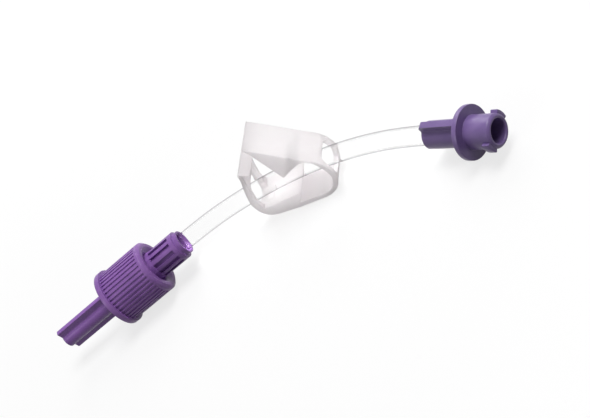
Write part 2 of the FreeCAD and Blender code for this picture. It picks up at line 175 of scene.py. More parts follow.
def soften(bm: BMesh, offset: float, segments: int = 2, sharper_than: float = 28.0) -> None:
    """Round every edge that is sharper than an angle.

    Args:
        bm: mesh that is changed.
        offset: width of the rounding, in metres.
        segments: steps across the rounding.
        sharper_than: angle between two faces from which their edge is rounded, in degrees.
    """
    limit = math.radians(sharper_than)
    edges = [edge for edge in bm.edges if edge.is_manifold and edge.calc_face_angle(0.0) > limit]
    round_edges(bm, edges, offset, segments, clamp=True)
    bmesh.ops.dissolve_degenerate(bm, dist=MERGE, edges=bm.edges[:])


def turned(profile: list[Corner], steps: int = 96, closed: bool = True) -> BMesh:
    """Profile turned fully about the X axis.

    Args:
        profile: corners as X and radius, in millimetres.
        steps: number of steps round the axis.
        closed: joins the last corner to the first; otherwise the profile starts and ends on the axis.

    Returns:
        A new closed mesh, in metres.
    """
    bm = bmesh.new()
    verts = [bm.verts.new(Vector((x, radius, 0.0)) * MM) for x, radius in profile]
    pairs = list(zip(verts, verts[1:] + verts[:1])) if closed else list(zip(verts, verts[1:]))
    edges = [bm.edges.new(pair) for pair in pairs]
    bmesh.ops.spin(bm, geom=verts + edges, cent=(0, 0, 0), axis=(1, 0, 0), angle=math.tau, steps=steps,
                   use_merge=True)
    tidy(bm)
    return bm


def sector(profile: list[Corner], middle: float, span: float, steps: int = 14) -> BMesh:
    """Closed profile turned through part of a circle, with both ends capped.

    Args:
        profile: corners as X and radius, in millimetres.
        middle: angle of the sector's middle, in degrees.
        span: angle that it covers, in degrees.
        steps: number of steps.

    Returns:
        A new closed mesh, in metres.
    """
    bm = bmesh.new()
    low = math.radians(middle - span / 2)
    verts = [bm.verts.new(spin_point(x, radius, low) * MM) for x, radius in profile]
    face = bm.faces.new(verts)
    bmesh.ops.spin(bm, geom=[face], cent=(0, 0, 0), axis=(1, 0, 0), angle=math.radians(span), steps=steps,
                   use_duplicate=False)
    tidy(bm)
    return bm


def finished(name: str, parts: list[BMesh], place: Matrix) -> Object:
    """One object from several meshes, with its place in its mesh.

    Args:
        name: name of the piece.
        parts: meshes, which are freed.
        place: matrix from the piece's own frame to the row's frame, in metres.

    Returns:
        The linked object at the origin, with flat faces kept flat in its shading.
    """
    whole = bmesh.new()
    for part in parts:
        part.transform(place)
        step = bpy.data.meshes.new(name + "_part")
        part.to_mesh(step)
        part.free()
        whole.from_mesh(step)
        bpy.data.meshes.remove(step)
    for face in whole.faces:
        face.smooth = True
    for edge in whole.edges:
        edge.smooth = edge.calc_face_angle(0.0) < SMOOTH_BELOW
    piece = shaped(name, whole)
    weighted = piece.modifiers.new("flat_faces", "WEIGHTED_NORMAL")
    weighted.keep_sharp = True
    return piece


@dataclass(frozen=True)
class GroovedRim:
    """Round section with straight grooves of one width, evenly spaced.

    Attributes:
        grooves: number of grooves.
        half_width: half the width of a groove, in millimetres.
        land_points: points on each land between two grooves.
    """

    grooves: int
    half_width: float
    land_points: int

    def ring(self, x: float, land: float, floor: float) -> Ring:
        """Points of the section at one place along the axis.

        Args:
            x: place along the axis, in millimetres.
            land: radius outside the grooves, in millimetres.
            floor: radius at the bottom of the grooves, in millimetres.

        Returns:
            The points, in metres.
        """
        points: Ring = []
        pitch = math.tau / self.grooves
        lip = math.asin(self.half_width / land)
        base = math.asin(self.half_width / floor)
        for index in range(self.grooves):
            middle = pitch * index
            for angle, radius in ((-lip, land), (-base, floor), (0.0, floor), (base, floor), (lip, land)):
                points.append(spin_point(x, radius, middle + angle) * MM)
            for step in range(1, self.land_points + 1):
                angle = middle + lip + (pitch - 2 * lip) * step / (self.land_points + 1)
                points.append(spin_point(x, land, angle) * MM)
        return points

    def rings(self, stations: list[Place]) -> list[Ring]:
        """Sections at several stations, each X, land radius and floor radius."""
        return [self.ring(*station) for station in stations]


@dataclass(frozen=True)
class WingedSection:
    """Round core with two flat wings, one up and one down, and a fillet where they meet.

    Attributes:
        core: radius of the core, in millimetres.
        reach: axis to the edge of a wing.
        thickness: thickness of a wing.
        fillet: size of the fillet.
    """

    core: float
    reach: float
    thickness: float
    fillet: float

    def quarter(self) -> list[Corner]:
        """Points from the middle of the upper wing's edge to the side of the core, as across and up."""
        half = self.thickness / 2
        points = [(0.0, self.reach), (half, self.reach)]
        meet = math.sqrt(self.core ** 2 - half ** 2)
        low = math.asin(min(1.0, (half + self.fillet) / self.core))
        foot = (self.core * math.sin(low), self.core * math.cos(low))
        top = (half, meet + self.fillet)
        points += [(half, (self.reach + top[1]) / 2), top]
        for step in range(1, 4):
            share = step / 4
            bend = ((1 - share) ** 2, 2 * share * (1 - share), share ** 2)
            knee = (half, foot[1] + (meet - foot[1]) * 0.4)
            points.append(tuple(bend[0] * a + bend[1] * b + bend[2] * c for a, b, c in zip(top, knee, foot)))
        for step in range(0, 8):
            angle = low + (math.pi / 2 - low) * step / 8
            points.append((self.core * math.sin(angle), self.core * math.cos(angle)))
        return points

    def outline(self) -> list[Corner]:
        """Whole outline, as Y and Z in millimetres."""
        quarter = self.quarter()
        right = quarter + [(self.core, 0.0)] + [(y, -z) for y, z in reversed(quarter)]
        left = [(-y, z) for y, z in reversed(right[1:-1])]
        return right + left

    def ring(self, x: float) -> Ring:
        """Points of the section at X, in metres."""
        return [Vector((x, y, z)) * MM for y, z in self.outline()]

    def bore(self, x: float, radius: float) -> Ring:
        """As many points on a circle, each at the angle of its partner on the outline."""
        angles = [math.atan2(z, y) for y, z in self.outline()]
        return [spin_point(x, radius, angle) * MM for angle in angles]


# -------- finishes


def linear(red: int, green: int, blue: int) -> Colour:
    """Scene colour of a display colour.

    Args:
        red: red, 0 to 255.
        green: green, 0 to 255.
        blue: blue, 0 to 255.

    Returns:
        Red, green, blue and alpha, each 0 to 1.
    """
    def channel(level: int) -> float:
        """One channel."""
        share = level / 255
        return share / 12.92 if share <= 0.04045 else ((share + 0.055) / 1.055) ** 2.4

    return channel(red), channel(green), channel(blue), 1.0


class Graph:
    """A material with a Principled shader, and short calls to add and link its nodes."""

    def __init__(self, name: str) -> None:
        """Start an empty material of that name."""
        self.material = bpy.data.materials.new(name)
        self.material.use_nodes = True
        self.tree = self.material.node_tree
        self.shader = self.tree.nodes["Principled BSDF"]
        self.output = self.tree.nodes["Material Output"]

    @staticmethod
    def fill(node: Node, inputs: dict[str, object]) -> None:
        """Set inputs of a node, named with underscores for spaces."""
        for name, setting in inputs.items():
            node.inputs[name.replace("_", " ")].default_value = setting

    def add(self, kind: str, **inputs: object) -> Node:
        """New node with some of its inputs set.

        Args:
            kind: node type.
            **inputs: input names, with underscores for spaces, and values.

        Returns:
            The node.
        """
        node = self.tree.nodes.new(kind)
        self.fill(node, inputs)
        return node

    def link(self, source: NodeSocket, target: NodeSocket) -> None:
        """Join an output to an input."""
        self.tree.links.new(source, target)

    def setting(self, **inputs: object) -> None:
        """Set inputs of the Principled shader, named with underscores for spaces."""
        self.fill(self.shader, inputs)

    def noise(self, scale: float, detail: float = 3.0, stretch: Place = (1.0, 1.0, 1.0),
              turn: float = 0.0) -> Node:
        """Noise on object coordinates.

        Args:
            scale: features per metre.
            detail: octaves.
            stretch: scale along X, Y and Z.
            turn: turn of the pattern about Z, in radians.

        Returns:
            The noise node.
        """
        where = self.add("ShaderNodeTexCoord")
        mapping = self.add("ShaderNodeMapping", Scale=stretch, Rotation=(0.0, 0.0, turn))
        noise = self.add("ShaderNodeTexNoise", Scale=scale, Detail=detail)
        self.link(where.outputs["Object"], mapping.inputs["Vector"])
        self.link(mapping.outputs["Vector"], noise.inputs["Vector"])
        return noise

    def tint(self, source: NodeSocket, stops: list[tuple[float, Colour]]) -> None:
        """Colour the surface by a ramp on a value.

        Args:
            source: value that chooses the colour.
            stops: place and colour of each stop.
        """
        ramp = self.add("ShaderNodeValToRGB")
        elements = ramp.color_ramp.elements
        while len(elements) < len(stops):
            elements.new(0.5)
        for element, (place, colour) in zip(elements, stops):
            element.position = place
            element.color = colour
        self.link(source, ramp.inputs["Fac"])
        self.link(ramp.outputs["Color"], self.shader.inputs["Base Color"])

    def gloss(self, source: NodeSocket, low: float, high: float) -> None:
        """Spread the roughness over a range by a value from 0 to 1."""
        node = self.add("ShaderNodeMapRange", To_Min=low, To_Max=high)
        self.link(source, node.inputs["Value"])
        self.link(node.outputs["Result"], self.shader.inputs["Roughness"])

    def surface(self, share: NodeSocket, first: NodeSocket, second: NodeSocket) -> None:
        """Mix two shaders into the surface.

        Args:
            share: 0 for the first shader, 1 for the second.
            first: output of the first shader.
            second: output of the second shader.
        """
        mixed = self.add("ShaderNodeMixShader")
        for source, target in zip((share, first, second), mixed.inputs):
            self.link(source, target)
        self.link(mixed.outputs["Shader"], self.output.inputs["Surface"])

    def bump(self, source: NodeSocket, distance: float, strength: float) -> None:
        """Raise the surface by a value.

        Args:
            source: height, 0 to 1.
            distance: height of 1, in metres.
            strength: how much of it shows.
        """
        node = self.add("ShaderNodeBump", Distance=distance, Strength=strength)
        self.link(source, node.inputs["Height"])
        self.link(node.outputs["Normal"], self.shader.inputs["Normal"])


@dataclass(frozen=True)
class PigmentedPlastic:
    """Moulded plastic coloured through.

    Attributes:
        name: name of the material.
        colour: main colour.
        thin: colour where the pigment is a little thinner.
        roughness: mean roughness.
        turn: direction of the flow in the mould, about Z, in degrees.
        smear: how far the roughness strays from its mean.
    """

    name: str
    colour: Colour
    thin: Colour
    roughness: float
    turn: float
    smear: float = 0.09

    def make(self) -> Material:
        """Material with cloudy pigment, faint flow streaks and a fine moulded grain."""
        graph = Graph(self.name)
        cloud = graph.noise(160.0, 3.0)
        flow = graph.noise(900.0, 2.0, (0.12, 1.0, 1.0), math.radians(-self.turn))
        mixed = graph.add("ShaderNodeMix", Factor=0.35)
        graph.link(cloud.outputs["Fac"], mixed.inputs["A"])
        graph.link(flow.outputs["Fac"], mixed.inputs["B"])
        graph.tint(mixed.outputs["Result"], [(0.36, self.colour), (0.68, self.thin)])
        smear = graph.noise(420.0, 4.0)
        graph.gloss(smear.outputs["Fac"], self.roughness - self.smear, self.roughness + self.smear)
        grain = graph.noise(9000.0, 2.0)
        graph.bump(grain.outputs["Fac"], 6e-6, 0.5)
        graph.setting(Specular_IOR_Level=0.32, Subsurface_Weight=0.06, Subsurface_Scale=0.0005,
                      Subsurface_Radius=(1.0, 0.55, 1.2))
        return graph.material


@dataclass(frozen=True)
class MilkyPlastic:
    """Natural, unpigmented plastic that lets light through without being clear.

    Attributes:
        name: name of the material.
        colour: one colour of its cloudy tone.
        pale: the paler colour of its cloudy tone.
    """

    name: str
    colour: Colour
    pale: Colour

    def make(self) -> Material:
        """Cloudy white material that passes some light and shows vaguely what lies behind it."""
        graph = Graph(self.name)
        cloud = graph.noise(190.0, 4.0)
        graph.tint(cloud.outputs["Fac"], [(0.34, self.colour), (0.66, self.pale)])
        smear = graph.noise(500.0, 3.0)
        graph.gloss(smear.outputs["Fac"], 0.58, 0.74)
        grain = graph.noise(5200.0, 2.0)
        graph.bump(grain.outputs["Fac"], 8e-6, 0.5)
        graph.setting(Specular_IOR_Level=0.4, Subsurface_Weight=0.9, Subsurface_Scale=0.005,
                      Subsurface_Radius=(1.0, 1.0, 1.0), Transmission_Weight=0.52, IOR=1.15)
        return graph.material


@dataclass(frozen=True)
class ClearVinyl:
    """Clear soft tube whose wall looks greyer at a grazing angle.

    Attributes:
        name: name of the material.
        clear: colour seen straight through.
        rim: colour seen along the wall.
        veil: how much of the surface shows, from 0 to 1.
    """

    name: str
    clear: Colour
    rim: Colour
    veil: float

    def make(self) -> Material:
        """Clear material that lets lamp light through to what lies behind it."""
        graph = Graph(self.name)
        facing = graph.add("ShaderNodeLayerWeight", Blend=0.5)
        graph.tint(facing.outputs["Facing"], [(0.42, self.clear), (0.80, self.rim)])
        haze = graph.noise(260.0, 3.0, (0.25, 1.0, 1.0))
        graph.gloss(haze.outputs["Fac"], 0.02, 0.09)
        graph.setting(Transmission_Weight=1.0, IOR=1.07, Specular_IOR_Level=0.5, Alpha=self.veil)
        through = graph.add("ShaderNodeBsdfTransparent")
        rays = graph.add("ShaderNodeLightPath")
        graph.surface(rays.outputs["Is Shadow Ray"], graph.shader.outputs["BSDF"], through.outputs["BSDF"])
        return graph.material


Finish = PigmentedPlastic | MilkyPlastic | ClearVinyl

PURPLE = PigmentedPlastic("purple_plastic", linear(123, 83, 153), linear(141, 99, 169), 0.35, 23.0)
CAP_PURPLE = PigmentedPlastic("cap_plastic", linear(122, 80, 154), linear(138, 94, 170), 0.27, 23.0)
SOCKET_PURPLE = PigmentedPlastic("socket_plastic", linear(106, 85, 137), linear(120, 98, 150), 0.31, -23.8)
MILKY = MilkyPlastic("milky_plastic", linear(249, 244, 246), linear(253, 249, 250))
VINYL = ClearVinyl("clear_vinyl", linear(253, 253, 253), linear(140, 137, 142), 1.0)
BORE_VINYL = ClearVinyl("bore_vinyl", linear(254, 254, 254), linear(254, 254, 254), 0.1)


def dress(piece: Object, finish: Finish) -> None:
    """Give a piece its finish.

    Args:
        piece: object that gets the material.
        finish: finish that makes it.
    """
    made = bpy.data.materials.get(finish.name) or finish.make()
    piece.data.materials.clear()
    piece.data.materials.append(made)
    LOG.info("%s: %d faces, %s", piece.name, len(piece.data.polygons), finish.name)


# -------- the line


@dataclass
class Route:
    """Line that the tube follows, and where the connectors sit on it.

    Attributes:
        points: control points, in metres.
        insert: length of tube held inside each connector, in metres.
        order: order of the smooth curve.
        resolution: steps of the curve between two points.
    """

    points: tuple[Place, ...] = (
        (-0.02583, 0.00135, 0.00717),
        (-0.01709, 0.00507, 0.00717),
        (-0.00810, 0.00784, 0.00695),
        (0.00290, 0.00993, 0.00662),
        (0.01428, 0.01054, 0.00625),
        (0.02554, 0.00953, 0.00582),
        (0.03670, 0.00675, 0.00530),
        (0.04576, 0.00276, 0.00530),
    )
    insert: float = 0.0039
    order: int = 3
    resolution: int = 24

    def exit_frame(self, first: Vector, second: Vector, roll: float) -> Matrix:
        """Frame at a connector's tube exit, with X away from the tube.

        Args:
            first: end of the route inside the connector.
            second: next point of the route.
            roll: turn about the connector's axis, in degrees.

        Returns:
            Matrix from the connector's own frame to the row's frame.
        """
        away = (first - second).normalized()
        origin = first - away * self.insert
        heading = math.atan2(away.y, away.x)
        return (Matrix.Translation(origin) @ Matrix.Rotation(heading, 4, "Z")
                @ Matrix.Rotation(math.radians(roll), 4, "X"))

    def male_frame(self, roll: float = 0.0) -> Matrix:
        """Frame of the pieces at the capped end."""
        return self.exit_frame(Vector(self.points[0]), Vector(self.points[1]), roll)

    def socket_frame(self, roll: float = 0.0) -> Matrix:
        """Frame of the pieces at the socket end."""
        return self.exit_frame(Vector(self.points[-1]), Vector(self.points[-2]), roll)

    def smooth_line(self) -> list[Vector]:
        """Points read from a smooth curve through the route, in order."""
        curve = bpy.data.curves.new("route", "CURVE")
        curve.dimensions = "3D"
        curve.resolution_u = self.resolution
        spline = curve.splines.new("NURBS")
        spline.points.add(len(self.points) - 1)
        for point, place in zip(spline.points, self.points):
            point.co = (*place, 1.0)
        spline.order_u = self.order
        spline.use_endpoint_u = True
        carrier = linked("route", curve)
        mesh = evaluated(carrier)
        line = [vert.co.copy() for vert in mesh.vertices]
        bpy.data.objects.remove(carrier)
        bpy.data.meshes.remove(mesh)
        return line


@dataclass
class Tube:
    """Clear tube with a real bore.

    Attributes:
        route: line that it follows.
        outer: outer radius, in metres.
        inner: bore radius, in metres.
        sides: points round it.
    """

    route: Route
    outer: float = 0.00205
    inner: float = 0.0015
    sides: int = 96

    def sleeve(self, line: list[Vector], radius: float) -> list[Ring]:
        """Rings of one radius along a line.

        Args:
            line: points of the line.
            radius: radius of the rings, in metres.

        Returns:
            One ring for each point.
        """
        rings: list[Ring] = []
        for index, place in enumerate(line):
            ahead = line[min(index + 1, len(line) - 1)] - line[max(index - 1, 0)]
            ahead.normalize()
            side = ahead.cross(Vector((0, 0, 1))).normalized()
            lift = side.cross(ahead)
            rings.append([place + (side * math.cos(angle) + lift * math.sin(angle)) * radius
                          for angle in (math.tau * step / self.sides for step in range(self.sides))])
        return rings

    def build(self) -> Object:
        """Tube as one closed wall, attached to the line's body."""
        line = self.route.smooth_line()
        shell = loft(self.sleeve(line, self.outer) + self.sleeve(line, self.inner)[::-1])
        piece = finished("clear_tube", [shell], Matrix.Identity(4))
        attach(piece, "line")
        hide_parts("tube")
        tuple(self.route.male_frame().translation)
        dress(piece, VINYL)
        self.dress_bore(piece, line)
        return piece

    def dress_bore(self, piece: Object, line: list[Vector]) -> None:
        """Give the bore's wall a finish of its own.

        Args:
            piece: the finished tube.
            line: points of the tube's line.
        """
        middle = KDTree(len(line))
        for index, place in enumerate(line):
            middle.insert(place, index)
        middle.balance()
        piece.data.materials.append(BORE_VINYL.make())
        for face in piece.data.polygons:
            reach = middle.find(face.center)[2]
            face.material_index = int(reach < (self.outer + self.inner) / 2)


@dataclass
class MaleConnector:
    """Fluted hub, seat and flange for the collar, and the tapered nozzle.

    Attributes are in millimetres, with X from the tube's exit.
    """

    route: Route
    lip: float = 2.95
    lip_length: float = 1.1
    hub: float = 3.5
    flute_floor: float = 2.85
    flute_start: float = 2.2
    flute_end: float = 8.1
    journal: float = 3.57
    keeper: float = 3.95
    keeper_start: float = 9.85
    nozzle_start: float = 11.05
    nozzle_root: float = 2.2
    nozzle_tip: float = 1.96
    tip: float = 19.55
    passage: float = 1.15
    seat: float = 2.07
    seat_depth: float = 4.0
    funnel: float = 2.55
    funnel_depth: float = 0.7
    edge: float = 0.1
    rim: GroovedRim = GroovedRim(12, 0.48, 3)

    def build(self) -> Object:
        """Whole connector as one closed wall."""
        stations = [
            (0.0, self.funnel, self.funnel),
            (0.0, self.lip, self.lip),
            (self.lip_length, self.lip, self.lip),
            (self.lip_length, self.hub, self.hub),
            (self.flute_start, self.hub, self.hub),
            (self.flute_start, self.hub, self.flute_floor),
            (self.flute_end, self.hub, self.flute_floor),
            (self.flute_end, self.journal, self.journal),
            (self.keeper_start, self.journal, self.journal),
            (self.keeper_start, self.keeper, self.keeper),
            (self.nozzle_start, self.keeper, self.keeper),
            (self.nozzle_start, self.nozzle_root, self.nozzle_root),
            (self.tip, self.nozzle_tip, self.nozzle_tip),
            (self.tip, self.passage, self.passage),
            (self.seat_depth, self.passage, self.passage),
            (self.seat_depth, self.seat, self.seat),
            (self.funnel_depth, self.seat, self.seat),
        ]
        shell = loft(self.rim.rings(stations))
        soften(shell, self.edge * MM)
        piece = finished("lock_connector_hub", [shell], self.route.male_frame())
        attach(piece, "line")
        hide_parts("male_connector")
        dress(piece, PURPLE)
        return piece


@dataclass
class RotatingCollar:
    """Ribbed sleeve that turns on the connector, with its inside thread.

    Attributes are in millimetres, with X from the tube's exit. The thread's foot and top are half its width at
    the wall and at the crest, its steps are for one turn, and its fade is how steeply its ends rise.
    """

    route: Route
    back: float = 8.5
    front: float = 21.7
    back_radius: float = 5.85
    radius: float = 6.55
    chamfer: float = 0.6
    rib_start: float = 9.8
    rib_floor: float = 6.25
    ring_start: float = 20.4
    ring_radius: float = 7.17
    sink: float = 4.95
    sink_depth: float = 0.8
    seat: float = 3.64
    wall_end: float = 9.8
    bore: float = 4.1
    mouth: float = 4.5
    thread_start: float = 14.2
    thread_turns: float = 1.25
    thread_lead: float = 5.0
    thread_root: float = 4.15
    thread_crest: float = 3.62
    thread_sunk: float = 0.1
    thread_foot: float = 0.62
    thread_top: float = 0.28
    thread_steps: int = 48
    thread_fade: float = 12
    edge: float = 0.1
    rim: GroovedRim = GroovedRim(40, 0.25, 2)

    def sleeve(self) -> BMesh:
        """Outside, inside and both ends of the collar."""
        stations = [
            (self.back + self.sink_depth, self.seat, self.seat),
            (self.back, self.sink, self.sink),
            (self.back, self.back_radius, self.back_radius),
            (self.back + self.chamfer, self.radius, self.radius),
            (self.rib_start, self.radius, self.radius),
            (self.rib_start, self.radius, self.rib_floor),
            (self.ring_start, self.radius, self.rib_floor),
            (self.ring_start, self.ring_radius, self.ring_radius),
            (self.front, self.ring_radius, self.ring_radius),
            (self.front, self.mouth, self.mouth),
            (self.front - self.mouth + self.bore, self.bore, self.bore),
            (self.wall_end, self.bore, self.bore),
            (self.wall_end, self.seat, self.seat),
        ]
        shell = loft(self.rim.rings(stations))
        soften(shell, self.edge * MM)
        return shell

    def thread(self, start: float) -> BMesh:
        """One of the two thread ridges.

        Args:
            start: angle at which it starts, in radians.

        Returns:
            A closed ridge that is sunk a little into the bore.
        """
        steps = int(self.thread_turns * self.thread_steps)
        root = self.thread_root + self.thread_sunk
        rings: list[Ring] = []
        for step in range(steps + 1):
            share = step / steps
            angle = start + math.tau * self.thread_turns * share
            x = self.thread_start + self.thread_lead * self.thread_turns * share
            fade = min(1.0, self.thread_fade * share, self.thread_fade * (1 - share))
            crest = self.thread_root - (self.thread_root - self.thread_crest) * fade
            rings.append([spin_point(x + across, radius, angle) * MM for across, radius in (
                (-self.thread_foot, root), (-self.thread_top, crest), (self.thread_top, crest),
                (self.thread_foot, root))])
        return loft(rings, closed=False)

    def build(self) -> Object:
        """Collar with its ribs and double-start thread."""
        parts = [self.sleeve(), self.thread(0.0), self.thread(math.pi)]
        piece = finished("lock_collar", parts, self.route.male_frame())
        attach(piece, "collar")
        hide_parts("rotating_collar")
        dress(piece, PURPLE)
        return piece


@dataclass
class TipCap:
    """Closed cup on the nozzle with a winged stem.

    Attributes are in millimetres, with X from the tube's exit.
    """

    route: Route
    roll: float = -6.0
    open_end: float = 12.25
    cup_radius: float = 3.3
    cup_end: float = 21.25
    floor: float = 19.85
    socket_mouth: float = 2.22
    socket_end: float = 2.01
    wing_start: float = 21.15
    stem_end: float = 38.1
    overlap: float = 0.3
    cup_edge: float = 0.15
    stem_edge: float = 0.16
    stem: WingedSection = WingedSection(1.95, 3.5, 1.2, 0.4)

    def build(self) -> Object:
        """Cap as a turned cup and a winged stem that grows out of it."""
        root = self.wing_start + self.overlap
        cup = turned([
            (self.floor, 0.0), (self.floor, self.socket_end), (self.open_end, self.socket_mouth),
            (self.open_end, self.cup_radius), (self.cup_end, self.cup_radius),
            (self.cup_end, self.stem.core), (root, self.stem.core), (root, 0.0),
        ], closed=False)
        soften(cup, self.cup_edge * MM)
        stem = loft([self.stem.ring(self.wing_start), self.stem.ring(self.stem_end)], closed=False)
        soften(stem, self.stem_edge * MM)
        piece = finished("tip_cap_piece", [cup, stem], self.route.male_frame(self.roll))
        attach(piece, "cap")
        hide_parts("tip_cap")
        dress(piece, CAP_PURPLE)
        return piece


@dataclass
class SocketConnector:
    """Finned hub, grip disc and socket barrel with two lock lugs.

    Attributes are in millimetres, with X from the tube's exit.
    """

    route: Route
    roll: float = 10.0
    hub_length: float = 9.1
    disc_radius: float = 5.3
    disc_end: float = 10.2
    barrel_radius: float = 3.3
    mouth: float = 16.0
    rim_radius: float = 2.85
    rim_bevel: float = 0.5
    mouth_radius: float = 2.45
    mouth_depth: float = 0.4
    bore_mouth: float = 2.24
    bore_end: float = 2.06
    socket_depth: float = 7.5
    lumen: float = 1.5
    seat: float = 2.07
    seat_depth: float = 4.0
    funnel: float = 2.4
    funnel_depth: float = 0.4
    lug_reach: float = 3.95
    lug_length: float = 1.6
    lug_setback: float = 0.4
    lug_angle: float = 46.0
    lug_root: float = 0.5
    fin_corner: float = 1.1
    overlap: float = 0.2
    core_wall: float = 0.35
    core_end: float = 0.4
    core_lip: float = 0.02
    hub_edge: float = 0.18
    head_edge: float = 0.15
    lug_edge: float = 0.16
    hub: WingedSection = WingedSection(2.78, 4.35, 1.3, 0.4)

    def build(self) -> Object:
        """Whole connector with its two lugs."""
        tail_end = self.hub_length + self.overlap
        rounded = [replace(self.hub, reach=self.hub.reach - self.fin_corner * (1 - math.sin(angle))).ring(
            self.fin_corner * (1 - math.cos(angle))) for angle in (math.pi / 12 * step for step in range(7))]
        tail = loft([
            self.hub.bore(self.funnel_depth, self.seat), self.hub.bore(0.0, self.funnel), *rounded,
            self.hub.ring(tail_end), self.hub.bore(tail_end, self.lumen),
            self.hub.bore(self.seat_depth, self.lumen), self.hub.bore(self.seat_depth, self.seat),
        ])
        soften(tail, self.hub_edge * MM)
        step = self.mouth - self.socket_depth
        core = self.bore_end + self.core_wall
        lip = self.lumen - self.core_lip
        head = turned([
            (self.hub_length, core), (self.hub_length, self.disc_radius),
            (self.disc_end, self.disc_radius), (self.disc_end, self.barrel_radius),
            (self.mouth - self.rim_bevel, self.barrel_radius), (self.mouth, self.rim_radius),
            (self.mouth, self.mouth_radius), (self.mouth - self.mouth_depth, self.bore_mouth),
            (step, self.bore_end), (step, lip), (step - self.core_end, lip), (step - self.core_end, core),
        ])
        soften(head, self.head_edge * MM)
        lug_front = self.mouth - self.lug_setback
        lug_back = lug_front - self.lug_length
        root = self.barrel_radius - self.lug_root
        profile = [(lug_back, root), (lug_front, root), (lug_front, self.lug_reach), (lug_back, self.lug_reach)]
        parts = [tail, head]
        for middle in (0.0, 180.0):
            lug = sector(profile, middle, self.lug_angle)
            soften(lug, self.lug_edge * MM)
            parts.append(lug)
        piece = finished("socket_connector", parts, self.route.socket_frame(self.roll))
        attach(piece, "line")
        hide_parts("female_connector")
        dress(piece, SOCKET_PURPLE)
        return piece


